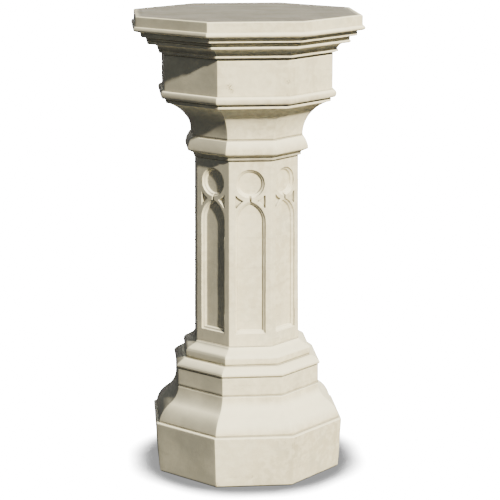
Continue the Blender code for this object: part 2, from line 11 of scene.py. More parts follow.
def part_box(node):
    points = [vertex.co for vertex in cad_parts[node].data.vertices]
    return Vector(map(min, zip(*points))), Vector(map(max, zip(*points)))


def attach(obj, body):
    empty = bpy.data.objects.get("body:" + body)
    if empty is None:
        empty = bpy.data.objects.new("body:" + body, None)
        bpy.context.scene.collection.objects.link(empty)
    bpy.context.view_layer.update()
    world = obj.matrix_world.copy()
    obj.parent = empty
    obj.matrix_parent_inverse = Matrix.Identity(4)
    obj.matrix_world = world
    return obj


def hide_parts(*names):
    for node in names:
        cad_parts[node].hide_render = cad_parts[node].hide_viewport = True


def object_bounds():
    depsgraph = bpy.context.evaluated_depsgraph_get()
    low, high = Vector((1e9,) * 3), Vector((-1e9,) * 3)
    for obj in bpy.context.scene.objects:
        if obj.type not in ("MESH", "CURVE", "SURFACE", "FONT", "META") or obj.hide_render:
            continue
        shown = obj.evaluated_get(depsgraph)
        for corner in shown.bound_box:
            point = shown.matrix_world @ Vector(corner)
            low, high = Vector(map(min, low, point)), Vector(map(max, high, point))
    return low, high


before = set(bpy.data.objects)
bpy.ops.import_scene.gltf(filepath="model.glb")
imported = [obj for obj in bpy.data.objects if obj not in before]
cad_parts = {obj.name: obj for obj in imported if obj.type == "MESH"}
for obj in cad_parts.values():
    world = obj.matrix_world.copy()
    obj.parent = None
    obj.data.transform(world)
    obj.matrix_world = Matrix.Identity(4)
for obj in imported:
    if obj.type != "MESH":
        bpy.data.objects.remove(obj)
CAD_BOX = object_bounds()
HEIGHT = CAD_BOX[1][2] - CAD_BOX[0][2]

FACES = 8
CLEAR = 0.0003               # gap that the CAD leaves between touching pieces
FLAT_STEPS = 14              # mesh steps across one flat side of the octagon
CORNER_STEPS = 4             # mesh steps round one softened arris
ROUND_SIDES = FACES * (FLAT_STEPS + CORNER_STEPS)
BORE_RADIUS = 0.0225         # of the hole for the drain pipe, down the middle of the pedestal
NUT_RECESS = 0.0320          # radius of the hole round the drain's back nut
BASIN_WALL = 0.1380          # inner radius of the metal basin
BASIN_FLAT = 0.0320          # radius of its flat floor
BASIN_METAL = 0.0015         # thickness of its metal
WASTE_HOLE = 0.0163          # radius of the hole in its floor


# ---------------------------------------------------------------- outlines
def arc(centre, radius, start, end, steps):
    """Points on a circle from one angle to another, in degrees."""
    points = []
    for i in range(steps + 1):
        angle = math.radians(start + (end - start) * i / steps)
        points.append((centre[0] + radius * math.cos(angle), centre[1] + radius * math.sin(angle)))
    return points


def bulge(top, foot, reach, steps=14):
    """A roll from its top point to its foot point, swelling out to the given apothem."""
    points = []
    for i in range(steps + 1):
        share = 0.5 - 0.5 * math.cos(math.pi * i / steps)
        chord = top[0] + (foot[0] - top[0]) * share
        swell = math.sin(math.pi * i / steps)
        points.append((chord + (reach - chord) * swell, top[1] + (foot[1] - top[1]) * share))
    return points


def soften(outline, radius, steps=4, sharp=18.0):
    """Round every corner of an outline that turns by more than a few degrees."""
    points = [Vector(p) for p in outline]
    result = [points[0]]
    for before, corner, after in zip(points, points[1:], points[2:]):
        back, ahead = before - corner, after - corner
        turn = math.pi - back.angle(ahead)
        if math.degrees(turn) < sharp:
            result.append(corner)
            continue
        reach = min(radius * math.tan(turn / 2), 0.45 * back.length, 0.45 * ahead.length)
        start = corner + back.normalized() * reach
        end = corner + ahead.normalized() * reach
        for i in range(steps + 1):
            t = i / steps
            result.append(start * (1 - t) ** 2 + corner * 2 * t * (1 - t) + end * t ** 2)
    result.append(points[-1])
    return [tuple(p) for p in result]


def refine(outline, longest):
    """Split the long stretches of an outline, so that the surface can be weathered."""
    result = [outline[0]]
    for a, b in zip(outline, outline[1:]):
        pieces = max(1, math.ceil(math.dist(a, b) / longest))
        for i in range(1, pieces + 1):
            result.append((a[0] + (b[0] - a[0]) * i / pieces, a[1] + (b[1] - a[1]) * i / pieces))
    return result


# ---------------------------------------------------------------- meshes
def octagon_section(reach, arris):
    """Points round an octagon with its flats towards the axes and its arrises rounded."""
    half = reach * math.tan(math.pi / FACES)
    arris = min(arris, reach * 0.3)
    trim = arris * math.tan(math.pi / FACES)
    points = []
    for face in range(FACES):
        angle = math.tau * face / FACES
        out = np.array([math.sin(angle), -math.cos(angle)])
        along = np.array([math.cos(angle), math.sin(angle)])
        for i in range(FLAT_STEPS + 1):
            slide = -(half - trim) + 2 * (half - trim) * i / FLAT_STEPS
            points.append(out * reach + along * slide)
        centre = out * (reach - arris) + along * (half - trim)
        for i in range(1, CORNER_STEPS):
            turn = math.tau / FACES * i / CORNER_STEPS
            points.append(centre + arris * (math.cos(turn) * out + math.sin(turn) * along))
    return np.array(points)


def round_section(reach, sides=ROUND_SIDES):
    """Points round a circle, starting beside the front face's left arris."""
    start = -math.pi / 2 - math.pi / FACES
    angles = start + np.arange(sides) * math.tau / sides
    return np.stack([reach * np.cos(angles), reach * np.sin(angles)], 1)


def mesh_object(name, vertices, faces):
    mesh = bpy.data.meshes.new(name)
    mesh.from_pydata([tuple(v) for v in vertices], [], faces)
    bm = bmesh.new()
    bm.from_mesh(mesh)
    bmesh.ops.remove_doubles(bm, verts=bm.verts, dist=0.000002)
    bmesh.ops.dissolve_degenerate(bm, edges=bm.edges, dist=0.000001)
    bmesh.ops.recalc_face_normals(bm, faces=bm.faces)
    bm.to_mesh(mesh)
    bm.free()
    mesh.shade_smooth()
    obj = bpy.data.objects.new(name, mesh)
    bpy.context.scene.collection.objects.link(obj)
    return obj


def stacked(name, rings, gap_after=None):
    """A skin through rings of points, each an (n, 3) array, joined end to end and last to first.

    With gap_after, that ring isn't joined to the next: they are the two that meet on the axis.
    """
    count = len(rings[0])
    faces = []
    for i in range(len(rings)):
        if i == gap_after:
            continue
        this, following = i * count, ((i + 1) % len(rings)) * count
        for j in range(count):
            k = (j + 1) % count
            faces.append((this + j, following + j, following + k, this + k))
    return mesh_object(name, np.concatenate(rings), faces)


def ring_at(section, z):
    return np.column_stack([section, np.full(len(section), z)])


def stone_course(name, outline, inner, arris=0.0028, longest=0.006):
    """An octagonal course: outline runs down its outside, inner runs up its round inside."""
    outer = refine(outline, longest)
    head_reach, head = outer[0]
    rings = [ring_at(octagon_section(a, arris), z) for a, z in outer]
    rings += [ring_at(round_section(r), z) for r, z in inner]
    inside, outside = round_section(inner[-1][0]), octagon_section(head_reach, arris)
    for share in (0.7, 0.4, 0.15):
        rings.append(ring_at(inside * share + outside * (1 - share), head))
    return stacked(name, rings)


def solid_course(name, outline, arris=0.0028, longest=0.006, rings_across=12):
    """An octagonal slab with no hole: its top and its underside close on the axis."""
    outer = refine(outline, longest)
    (top_reach, top_z), (foot_reach, foot_z) = outer[0], outer[-1]
    inward = [foot_reach * (1 - i / rings_across) for i in range(1, rings_across)]
    outward = [top_reach * i / rings_across for i in range(1, rings_across)]
    rings = [ring_at(octagon_section(a, arris), z) for a, z in outer]
    rings += [ring_at(octagon_section(a, arris), foot_z) for a in inward]
    rings.append(ring_at(round_section(0.0), foot_z))
    rings.append(ring_at(round_section(0.0), top_z))
    rings += [ring_at(octagon_section(a, arris), top_z) for a in outward]
    return stacked(name, rings, len(outer) + len(inward))


def turned_ring(name, outline, sides=96, centre=(0.0, 0.0)):
    """A round piece with a hole: a closed outline, clockwise from its top inner corner."""
    rings = [ring_at(round_section(r, sides) + np.array(centre), z) for r, z in outline]
    return stacked(name, rings)


def turned(name, outline, sides=64, centre=(0.0, 0.0)):
    """A round piece whose outline starts and ends on the axis, running down its outside."""
    rings = [ring_at(round_section(r, sides) + np.array(centre), z) for r, z in outline]
    return stacked(name, rings, len(rings) - 1)


def weather(obj, seed, depth=0.0009, size=0.050):
    """Sink the sides a little here and there, as hand-cast stone is never quite true."""
    shift = Vector((seed * 3.17, seed * 1.31, seed * 2.03))
    mesh = obj.data
    normals = [v.normal.copy() for v in mesh.vertices]
    for vertex, normal in zip(mesh.vertices, normals):
        broad = noise.noise(vertex.co / size + shift)
        fine = noise.noise(vertex.co / (size * 0.28) - shift)
        sink = depth * (0.5 + 0.5 * min(1.0, max(-1.0, 0.75 * broad + 0.35 * fine)))
        upright = math.hypot(normal.x, normal.y)
        vertex.co -= normal * (sink * upright)


def apply_modifiers(obj):
    evaluated = obj.evaluated_get(bpy.context.evaluated_depsgraph_get())
    mesh = bpy.data.meshes.new_from_object(evaluated)
    obj.modifiers.clear()
    obj.data = mesh


def boolean_cut(obj, cutters):
    for cutter in cutters:
        modifier = obj.modifiers.new("cut", "BOOLEAN")
        modifier.operation = "DIFFERENCE"
        modifier.solver = "EXACT"
        modifier.object = cutter
    bpy.context.view_layer.update()
    apply_modifiers(obj)
    for cutter in cutters:
        bpy.data.objects.remove(cutter)


# ---------------------------------------------------------------- materials
class Nodes:
    """Short names for the shader nodes that the materials here are made of."""

    def __init__(self, name):
        self.material = bpy.data.materials.new(name)
        self.material.use_nodes = True
        self.tree = self.material.node_tree
        self.shader = self.tree.nodes["Principled BSDF"]
        self.place = self.add("ShaderNodeTexCoord").outputs["Object"]

    def add(self, kind, **settings):
        node = self.tree.nodes.new(kind)
        for key, value in settings.items():
            setattr(node, key, value)
        return node

    def feed(self, socket, value):
        """Link another node's output to a socket, or set the socket to a plain value."""
        if hasattr(value, "node"):
            self.tree.links.new(value, socket)
        else:
            socket.default_value = value

    def scaled(self, scale):
        node = self.add("ShaderNodeMapping")
        self.feed(node.inputs["Vector"], self.place)
        node.inputs["Scale"].default_value = scale
        return node.outputs["Vector"]

    def noise(self, scale, detail=3.0, rough=0.55, vector=None):
        node = self.add("ShaderNodeTexNoise")
        self.feed(node.inputs["Vector"], vector or self.place)
        node.inputs["Scale"].default_value = scale
        node.inputs["Detail"].default_value = detail
        node.inputs["Roughness"].default_value = rough
        return node.outputs["Fac"]

    def cells(self, scale):
        node = self.add("ShaderNodeTexVoronoi")
        self.feed(node.inputs["Vector"], self.place)
        node.inputs["Scale"].default_value = scale
        return node.outputs["Distance"]

    def ramp(self, value, low, high, to_low=0.0, to_high=1.0):
        """Smooth step from to_low at low to to_high at high, held beyond them."""
        node = self.add("ShaderNodeMapRange", interpolation_type="SMOOTHSTEP")
        self.feed(node.inputs["Value"], value)
        node.inputs["From Min"].default_value = low
        node.inputs["From Max"].default_value = high
        node.inputs["To Min"].default_value = to_low
        node.inputs["To Max"].default_value = to_high
        return node.outputs["Result"]

    def math(self, operation, a, b):
        node = self.add("ShaderNodeMath", operation=operation)
        self.feed(node.inputs[0], a)
        self.feed(node.inputs[1], b)
        return node.outputs[0]

    def mix(self, share, a, b):
        node = self.add("ShaderNodeMix", data_type="RGBA")
        self.feed(node.inputs[0], share)
        self.feed(node.inputs[6], a)
        self.feed(node.inputs[7], b)
        return node.outputs[2]

    def closeness(self, centre, size):
        """1 at a point of the object, falling to 0 at the given distance from it."""
        away = self.add("ShaderNodeVectorMath", operation="DISTANCE")
        self.feed(away.inputs[0], self.place)
        away.inputs[1].default_value = centre
        return self.ramp(away.outputs["Value"], size, size * 0.25)

    def height_above(self, z_low, z_high):
        split = self.add("ShaderNodeSeparateXYZ")
        self.feed(split.inputs[0], self.place)
        return self.ramp(split.outputs["Z"], z_low, z_high)

    def facing(self, axis, low, high):
        """0 to 1 as the surface turns from one share of an axis to another."""
        split = self.add("ShaderNodeSeparateXYZ")
        self.feed(split.inputs[0], self.add("ShaderNodeNewGeometry").outputs["Normal"])
        return self.ramp(split.outputs[axis], low, high)

    def crevice(self, distance, low, high):
        """1 deep in a corner and 0 in the open."""
        node = self.add("ShaderNodeAmbientOcclusion", samples=12)
        node.inputs["Distance"].default_value = distance
        return self.ramp(node.outputs["AO"], high, low)

    def bump(self, heights):
        """Chain (height, strength, distance) bumps into the shader's normal."""
        normal = None
        for height, strength, distance in heights:
            node = self.add("ShaderNodeBump")
            self.feed(node.inputs["Height"], height)
            node.inputs["Strength"].default_value = strength
            node.inputs["Distance"].default_value = distance
            if normal is not None:
                self.feed(node.inputs["Normal"], normal)
            normal = node.outputs["Normal"]
        self.feed(self.shader.inputs["Normal"], normal)


def rgb(red, green, blue):
    return (red, green, blue, 1.0)


STAINS = [                   # (centre, size, strength) of the freckled marks on the faces
    ((-0.0465, -0.1700, 0.8190), 0.0090, 0.9),
    ((-0.0430, -0.1700, 0.8110), 0.0070, 0.8),
    ((0.0700, -0.1700, 0.8270), 0.0070, 0.8),
    ((0.0690, -0.1700, 0.8020), 0.0060, 0.7),
    ((-0.0150, -0.1180, 0.6800), 0.0100, 0.5),
    ((0.0050, -0.1180, 0.6800), 0.0100, 0.5),
    ((-0.0780, -0.1850, 0.0040), 0.0110, 1.0),
    ((-0.0040, -0.1880, 0.0225), 0.0050, 0.6),
]


def cast_stone():
    """Pale sandy cast stone, with brown dirt and painted shade in its corners, a grey top of grime and
    painted shade, painted highlights on faces tilted upwards and painted shade on the sides turned to
    the left.
    """
    n = Nodes("cast_stone")
    cream, warm, cool = rgb(0.80, 0.725, 0.52), rgb(0.64, 0.565, 0.385), rgb(0.62, 0.590, 0.46)
    color = n.mix(n.ramp(n.noise(5.0, 4.0), 0.38, 0.66), cream, warm)
    color = n.mix(n.ramp(n.noise(11.0, 5.0, 0.6), 0.50, 0.72, 0.0, 0.7), color, cool)
    runs = n.noise(14.0, 4.0, 0.6, n.scaled((1.0, 1.0, 0.16)))
    color = n.mix(n.ramp(runs, 0.52, 0.76, 0.0, 0.55), color, rgb(0.46, 0.40, 0.27))
    beds = n.noise(30.0, 4.0, 0.6, n.scaled((0.25, 0.25, 3.0)))
    color = n.mix(n.ramp(beds, 0.52, 0.72, 0.0, 0.36), color, rgb(0.48, 0.42, 0.29))
    grain = n.noise(760.0, 2.0, 0.7)
    color = n.mix(n.ramp(grain, 0.30, 0.72, 0.0, 0.30), color, rgb(0.47, 0.41, 0.29))
    worn = n.ramp(n.noise(75.0, 4.0), 0.42, 0.66, 0.0, 0.50)
    color = n.mix(worn, color, rgb(0.86, 0.79, 0.58))
    # Painted highlight: faces tilted upwards are made paler, standing in for the stronger sun they
    # catch.
    upward_painted_highlight = n.math("MULTIPLY", n.facing("Z", 0.12, 0.60), 0.75)
    color = n.mix(upward_painted_highlight, color, rgb(0.93, 0.88, 0.70))
    # The cover's flat top is made dark grey: partly grime, partly painted shade standing in for the
    # weaker light on it.
    on_cover = n.height_above(HEIGHT - 0.02, HEIGHT - 0.01)
    cover_top_grime_and_shade = n.math("MULTIPLY", n.facing("Z", 0.90, 0.99), on_cover)
    pale_grey, dark_grey = rgb(0.215, 0.203, 0.176), rgb(0.178, 0.167, 0.139)
    top = n.mix(n.ramp(n.noise(16.0, 5.0), 0.35, 0.70), pale_grey, dark_grey)
    color = n.mix(cover_top_grime_and_shade, color, top)
    splash = n.ramp(n.noise(22.0, 5.0, 0.65), 0.42, 0.72)
    low = n.math("MULTIPLY", n.math("SUBTRACT", 1.0, n.height_above(0.0, 0.10)), splash)
    color = n.mix(n.math("MULTIPLY", low, 0.35), color, rgb(0.40, 0.34, 0.23))
    for centre, size, strength in STAINS:
        spot = n.math("MULTIPLY", n.closeness(centre, size), n.ramp(n.noise(330.0, 2.0), 0.42, 0.62))
        color = n.mix(n.math("MULTIPLY", spot, strength), color, rgb(0.24, 0.19, 0.11))
    # Painted shade: faces turned towards -X, away from the key light, are darkened in patches.
    left_shade_patchiness = n.ramp(n.noise(8.0, 4.0), 0.25, 0.60, 0.68, 0.88)
    painted_left_shade = n.math("MULTIPLY", n.facing("X", -0.24, -0.64), left_shade_patchiness)
    color = n.mix(painted_left_shade, color, rgb(0.213, 0.200, 0.163))
    # Darker in corners, hollows and joints, found by ambient occlusion: partly dirt, partly painted
    # shade.
    broad = n.crevice(0.030, 0.25, 0.85)
    fine = n.crevice(0.0045, 0.48, 0.93)
    color = n.mix(n.math("MULTIPLY", broad, 0.50), color, rgb(0.33, 0.310, 0.230))
    color = n.mix(n.math("MULTIPLY", fine, 0.68), color, rgb(0.110, 0.098, 0.066))
    n.feed(n.shader.inputs["Base Color"], color)
    n.feed(n.shader.inputs["Roughness"], n.ramp(n.noise(60.0, 4.0), 0.3, 0.7, 0.78, 0.94))
    n.shader.inputs["Specular IOR Level"].default_value = 0.10
    pits = n.ramp(n.cells(420.0), 0.10, 0.32)
    n.bump([
        (n.noise(45.0, 3.0), 0.35, 0.0016),
        (n.noise(240.0, 3.0, 0.6), 0.35, 0.0006),
        (grain, 0.45, 0.0003),
        (pits, 0.20, 0.0004),
    ])
    return n.material


def bed_mortar():
    """Dusty bedding mortar in the joints, a little browner than the stone."""
    n = Nodes("bed_mortar")
    color = n.mix(n.ramp(n.noise(90.0, 4.0), 0.35, 0.68), rgb(0.66, 0.60, 0.46), rgb(0.56, 0.50, 0.37))
    color = n.mix(n.ramp(n.noise(900.0, 2.0), 0.40, 0.70, 0.0, 0.5), color, rgb(0.70, 0.64, 0.50))
    n.feed(n.shader.inputs["Base Color"], color)
    n.feed(n.shader.inputs["Roughness"], n.ramp(n.noise(300.0), 0.3, 0.7, 0.86, 0.98))
    n.bump([(n.noise(700.0, 3.0, 0.7), 0.6, 0.0005)])
    return n.material


def metal(name, base, stained, roughness):
    """Turned metal: fine tool lines round the axis, dulled and spotted by water."""
    n = Nodes(name)
    stain = n.ramp(n.noise(26.0, 5.0, 0.65), 0.50, 0.72, 0.0, 0.22)
    color = n.mix(stain, base, stained)
    drops = n.ramp(n.cells(160.0), 0.05, 0.22, 0.20, 0.0)
    color = n.mix(drops, color, stained)
    n.feed(n.shader.inputs["Base Color"], color)
    n.shader.inputs["Metallic"].default_value = 1.0
    smear = n.noise(40.0, 4.0, 0.6)
    dulled = min(1.0, roughness * 1.5)
    n.feed(n.shader.inputs["Roughness"], n.ramp(smear, 0.3, 0.7, roughness * 0.8, dulled))
    tool = n.noise(1400.0, 2.0, 0.5, n.scaled((0.06, 0.06, 1.0)))
    n.bump([(n.noise(120.0, 2.0), 0.10, 0.0006), (tool, 0.12, 0.0001)])
    return n.material


def soft_rubber():
    """Black moulded rubber with a bloom of dust."""
    n = Nodes("soft_rubber")
    bloom = n.ramp(n.noise(70.0, 4.0), 0.45, 0.75, 0.0, 0.6)
    color = n.mix(bloom, rgb(0.018, 0.018, 0.018), rgb(0.060, 0.058, 0.052))
    n.feed(n.shader.inputs["Base Color"], color)
    n.feed(n.shader.inputs["Roughness"], n.ramp(n.noise(200.0, 3.0), 0.3, 0.7, 0.60, 0.85))
    n.bump([(n.noise(900.0, 2.0), 0.20, 0.0002)])
    return n.material


STONE = cast_stone()
MORTAR = bed_mortar()
STAINLESS = metal("stainless_steel", rgb(0.62, 0.62, 0.60), rgb(0.42, 0.41, 0.37), 0.28)
PLATED = metal("plated_brass", rgb(0.80, 0.79, 0.76), rgb(0.52, 0.50, 0.44), 0.13)
BRASS = metal("brass", rgb(0.72, 0.52, 0.22), rgb(0.35, 0.24, 0.10), 0.27)
COPPER = metal("copper", rgb(0.70, 0.36, 0.22), rgb(0.28, 0.17, 0.11), 0.38)
RUBBER = soft_rubber()


def finish_piece(obj, body, material, slot, *nodes):
    """Dress a piece, stand it in for its CAD nodes and let it ride on its body."""
    obj.data.materials.clear()
    obj.data.materials.append(material)
    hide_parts(*nodes)
    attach(obj, body)


# ---------------------------------------------------------------- stone outlines
SPANS = {}


def span(node):
    """Foot and head of a CAD node, and its greatest apothem."""
    if node not in SPANS:
        low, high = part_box(node)
        SPANS[node] = (low.z, high.z, high.y)
    return SPANS[node]


def plinth_outline():
    foot, head, widest = span("plinth")
    taper, arris, drop = 0.0065, 0.0035, 0.0015
    return [(widest - 0.0060, head), (widest - 0.0010, head - drop), (widest, head - 2 * drop),
            (widest - taper, foot + arris), (widest - taper - arris, foot)]


def ogee_outline():
    foot, head, widest = span("base_ogee")
    neck = widest - 0.0410
    hollow = arc((neck + 0.0430, head + 0.0010), 0.0430, 181.3, 234.5, 14)
    swell = arc((neck - 0.0184, foot - 0.0134), 0.0614, 53.6, 14.5, 14)
    return [(neck, head), *hollow[1:], *swell[1:], (widest, foot)]


def band_outline():
    foot, head, widest = span("base_band")
    return [(widest - 0.0008, head), (widest, head - 0.0008), (widest, foot)]


def lower_roll_outline():
    foot, head, widest = span("base_roll_lower")
    return [(widest - 0.0172, head), (widest - 0.0107, head - 0.0040), (widest - 0.0052, head - 0.0080),
            (widest - 0.0014, head - 0.0115), (widest, foot + 0.0030), (widest - 0.0012, foot)]


def upper_roll_outline():
    """The shaft's spreading foot: hollow, then round, then a near-upright edge."""
    foot, head, widest = span("base_roll_upper")
    return [(widest - 0.0227, head), (widest - 0.0217, head - 0.0020), (widest - 0.0197, head - 0.0042),
            (widest - 0.0167, head - 0.0062), (widest - 0.0120, head - 0.0090),
            (widest - 0.0072, head - 0.0116), (widest - 0.0040, head - 0.0134),
            (widest - 0.0022, head - 0.0152), (widest - 0.0002, head - 0.0190),
            (widest, head - 0.0240), (widest - 0.0015, foot)]


def neck_outline():
    foot, head, widest = span("neck_ring")
    ovolo = arc((widest - 0.0484, foot + 0.0100), 0.0489, 37.5, 8.0, 12)
    under = arc((widest - 0.0039, foot + 0.0158), 0.0040, -10.0, -80.0, 5)
    fillet = widest - 0.0139
    return [(ovolo[0][0], head), *ovolo[1:], *under, (fillet + 0.0014, foot + 0.0075),
            (fillet, foot + 0.0063), (fillet, foot)]


def capital_outline():
    foot, head, widest = span("capital")
    fillet_foot = head - 0.0070
    hollow = arc((widest + 0.0210, foot - 0.0015), 0.0755, 109.8, 178.8, 24)
    return [(widest, head), (widest, fillet_foot), *hollow[:-1], (hollow[-1][0], foot)]


def bowl_outline():
    foot, head, widest = span("bowl")
    drum = widest - 0.0078
    drum_foot = foot + 0.0155
    return [(drum, head), (drum, drum_foot),
            *bulge((drum + 0.0012, drum_foot), (widest - 0.0048, foot), widest)]


def cornice_outline():
    foot, head, widest = span("cornice")
    recess = widest - 0.0020
    fillet = widest - 0.0240
    bead_top = foot + 0.0270
    bead_foot = foot + 0.0200
    bead = bulge((recess - 0.0025, bead_top), (recess - 0.0025, bead_foot), widest, 10)
    hollow = arc((recess - 0.0065, bead_foot - 0.0190), 0.0190, 88.0, 162.0, 10)
    return [(recess, head), (recess, bead_top + 0.0006), *bead, *hollow, (fillet, foot + 0.0060),
            (fillet, foot + 0.0020), (fillet - 0.0050, foot + 0.0015), (fillet - 0.0050, foot)]


def cover_outline():
    foot, head, widest = span("cover_slab")
    fascia = widest - 0.0053
    fascia_foot = head - 0.0200
    roll_foot = head - 0.0315
    neck = widest - 0.0155
    roll = bulge((fascia + 0.0008, fascia_foot - 0.0004), (neck, roll_foot), widest, 16)
    return [(fascia - 0.0015, head), (fascia, head - 0.0015), (fascia, fascia_foot), *roll,
            (neck, foot + 0.0010), (neck - 0.0010, foot)]


# ---------------------------------------------------------------- stone courses
def plain_bore(node):
    """The inside of a course that is only bored for the drain pipe."""
    foot, head, _ = span(node)
    return [(BORE_RADIUS, foot), (BORE_RADIUS, head)]


def build_courses():
    """The plain octagonal courses from the plinth up to the neck ring, each bored only for the drain
    pipe.
    """
    outlines = {
        "plinth": (plinth_outline(), 0.0030, 0.0016),
        "base_ogee": (ogee_outline(), 0.0034, 0.0014),
        "base_band": (band_outline(), 0.0024, 0.0010),
        "base_roll_lower": (lower_roll_outline(), 0.0030, 0.0012),
        "base_roll_upper": (upper_roll_outline(), 0.0030, 0.0012),
        "neck_ring": (neck_outline(), 0.0030, 0.0012),
    }
    for seed, (node, (outline, arris, corner)) in enumerate(outlines.items(), start=1):
        piece = stone_course(node + "_stone", soften(outline, corner), plain_bore(node), arris)
        weather(piece, seed)
        finish_piece(piece, "font", STONE, "cast_stone", node)


def build_capital():
    foot, head, _ = span("capital")
    nut_floor = 0.7480
    inner = [(BORE_RADIUS, foot), (BORE_RADIUS, nut_floor), (NUT_RECESS, nut_floor), (NUT_RECESS, head)]
    piece = stone_course("capital_stone", soften(capital_outline(), 0.0012), inner, 0.0028)
    weather(piece, 11)
    finish_piece(piece, "font", STONE, "cast_stone", "capital")


def basin_curve(left_shade_patchiness, steps=20):
    """The basin's dish from its wall down to its flat floor, grown outwards."""
    liner_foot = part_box("basin_liner")[0].z
    floor_z = liner_foot + BASIN_METAL
    bend_z = floor_z + 0.0600
    points = []
    for i in range(steps + 1):
        angle = math.radians(90.0 * i / steps)
        across = BASIN_WALL - BASIN_FLAT + left_shade_patchiness
        down = bend_z - floor_z + left_shade_patchiness
        points.append((BASIN_FLAT + across * math.cos(angle), bend_z - down * math.sin(angle)))
    return points


def build_bowl():
    """The drum with the hollow for the metal basin, and the rim course above it."""
    foot, head, _ = span("bowl")
    liner_low, liner_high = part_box("basin_liner")
    stone_floor = liner_low.z - CLEAR
    dish_growth, outlet_hole = 0.0035, 0.0170
    dish = [(r, max(z, stone_floor)) for r, z in reversed(basin_curve(dish_growth))]
    inner = [(outlet_hole, foot), (outlet_hole, stone_floor), (BASIN_FLAT, stone_floor), *dish[1:],
             (dish[-1][0], head)]
    piece = stone_course("bowl_stone", soften(bowl_outline(), 0.0013), inner, 0.0030)
    weather(piece, 12)
    finish_piece(piece, "font", STONE, "cast_stone", "bowl")

    foot, head, _ = span("cornice")
    ledge_radius, ledge_z = liner_high.x + 0.0010, liner_high.z - 0.0018
    inner = [(dish[-1][0], foot), (dish[-1][0], ledge_z), (ledge_radius, ledge_z), (ledge_radius, head)]
    piece = stone_course("cornice_stone", soften(cornice_outline(), 0.0007, 3), inner, 0.0022, 0.004)
    weather(piece, 13, 0.0006)
    finish_piece(piece, "font", STONE, "cast_stone", "cornice")


def build_cover_slab():
    piece = solid_course("cover_slab_stone", soften(cover_outline(), 0.0013), 0.0024)
    weather(piece, 14, 0.0008, 0.060)
    finish_piece(piece, "cover", STONE, "cast_stone", "cover_slab")


def build_beds():
    """The mortar in each joint, with a slightly ragged edge."""
    wide_holes = {"bed_capital": 0.0330, "bed_bowl": 0.1415}
    beds = [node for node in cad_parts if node.startswith("bed_")]
    for seed, node in enumerate(sorted(beds), start=21):
        foot, head, reach = span(node)
        hole = wide_holes.get(node, BORE_RADIUS)
        edge, bore = [(reach, head), (reach, foot)], [(hole, foot), (hole, head)]
        piece = stone_course(node + "_mortar", edge, bore)
        weather(piece, seed, 0.00025, 0.012)
        finish_piece(piece, "font", MORTAR, "mortar", node)


# ---------------------------------------------------------------- shaft with its blind panels
PANEL_HALF = 0.0308          # half the lancet's width
ROUNDEL_R = 0.0288           # of the circle over the lancet
ARCH_RADIUS = 0.0450         # of each side of the lancet's pointed head
ARCH_CENTRE = ARCH_RADIUS - PANEL_HALF
BAR = 0.0065                 # stone left between the lancet and the spandrels
ROUNDEL_BAR = 0.0085         # stone left between the roundel and the spandrels
SHAFT_TAPER = 0.0025         # how far each face leans in, from foot to head
PANEL_SECTION = [            # (inset, depth) of the panel's moulded edge, from the face inwards
    (-0.0012, -0.0030), (0.0002, 0.0004), (0.0006, 0.0030), (0.0013, 0.0040), (0.0036, 0.0049),
    (0.0046, 0.0056), (0.0054, 0.0084), (0.0064, 0.0094),
]
SPANDREL_SECTION = [(0.0, -0.0030), (0.0002, 0.0003), (0.0006, 0.0042), (0.0012, 0.0058)]
SLOT_SECTION = [(0.0, -0.0030), (0.0, 0.0060)]


def shaft_levels():
    """Heights of the panel's parts, from the shaft's own foot and head."""
    foot, head, _ = span("shaft")
    return {"sill": foot + 0.0260, "spring": head - 0.1255, "roundel": head - 0.0470}


def roundel_outline(inset, levels, steps=96):
    radius = ROUNDEL_R - inset
    angles = [math.tau * i / steps for i in range(steps)]
    return [(radius * math.cos(a), levels["roundel"] + radius * math.sin(a)) for a in angles]


def lancet_outline(inset, levels, arch_steps=24):
    """A pointed arch, anticlockwise from its lower left corner, moved in by the inset."""
    half = PANEL_HALF - inset
    radius = ARCH_RADIUS - inset
    apex = math.degrees(math.acos(ARCH_CENTRE / radius))
    right = arc((-ARCH_CENTRE, levels["spring"]), radius, 0.0, apex, arch_steps)
    left = [(-x, z) for x, z in reversed(right[:-1])]
    sill = levels["sill"] + inset
    return [(-half, sill), (half, sill), *right, *left]


def spandrel_outline(inset, levels, side, steps=12):
    """The three-cornered sinking between the roundel, the lancet and the panel's edge."""
    roundel_radius = ROUNDEL_R + ROUNDEL_BAR + inset
    arch_radius = ARCH_RADIUS + BAR + inset
    edge = PANEL_HALF - 0.0003 - inset
    top = levels["roundel"]
    upper_start = math.degrees(math.acos(edge / roundel_radius))
    arch_foot = math.degrees(math.acos((edge + ARCH_CENTRE) / arch_radius))
    arch_centre = (-ARCH_CENTRE, levels["spring"])
    cusp_x, cusp_z = circles_meet((0.0, top), roundel_radius, arch_centre, arch_radius)
    upper_end = math.degrees(math.atan2(top - cusp_z, cusp_x))
    arch_top = math.degrees(math.atan2(cusp_z - levels["spring"], cusp_x + ARCH_CENTRE))
    upper = arc((0.0, top), roundel_radius, -upper_start, -upper_end, steps)
    lower = arc(arch_centre, arch_radius, arch_top, arch_foot, steps)
    points = [*upper, *lower[1:]]
    return points if side > 0 else [(-x, z) for x, z in reversed(points)]


def circles_meet(a, ra, b, rb):
    """The meeting point of two circles with the greater x."""
    dx, dz = b[0] - a[0], b[1] - a[1]
    d = math.hypot(dx, dz)
    along = (ra * ra - rb * rb + d * d) / (2 * d)
    off = math.sqrt(max(0.0, ra * ra - along * along))
    x, z = a[0] + along * dx / d, a[1] + along * dz / d
    return max(((x + off * dz / d, z - off * dx / d), (x - off * dz / d, z + off * dx / d)))


def slot_outline(levels):
    """The nick that joins the roundel to the lancet's point."""
    half, reach = 0.0018, 0.0095
    crossing = levels["roundel"] - ROUNDEL_R
    return [(-half, crossing - reach), (half, crossing - reach), (half, crossing + reach),
            (-half, crossing + reach)]


def face_reach(z):
    """Apothem of the shaft at a height: it narrows a little upwards."""
    foot, head, widest = span("shaft")
    return widest - SHAFT_TAPER * (z - foot) / (head - foot)


